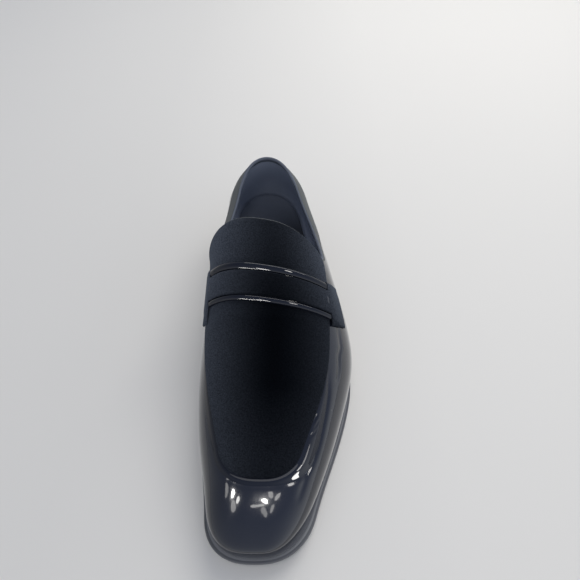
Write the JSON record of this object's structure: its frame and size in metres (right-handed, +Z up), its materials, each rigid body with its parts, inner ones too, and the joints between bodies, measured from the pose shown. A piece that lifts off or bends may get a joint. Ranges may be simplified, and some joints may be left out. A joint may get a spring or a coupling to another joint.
{
  "type": "dress loafer",
  "caption": "Left slip-on loafer with a glossy black upper, napped apron, tongue and saddle strap, a thin welted leather sole and a low stacked heel.",
  "frame": {"origin": "on the floor under the centre of the shoe's box", "axes": "+Z up, +Y from toe to heel along the sole's length, +X to the lateral side of the left foot"},
  "size_m": [0.1064, 0.298, 0.0898],
  "materials": {
    "sole_leather": "waxed edge, satin",
    "heel_stack": "waxed, satin",
    "welt_leather": "satin",
    "lining_leather": "matt",
    "patent_leather": "high gloss",
    "black_velvet": "napped, matt"
  },
  "bodies": {
    "root": {"outsole": "sole_leather", "heel": "heel_stack", "welt": "welt_leather", "insole": "lining_leather", "upper": "patent_leather", "apron": "black_velvet", "tongue": "black_velvet", "strap_base": "patent_leather", "strap": "black_velvet"}
  },
  "joints": []
}
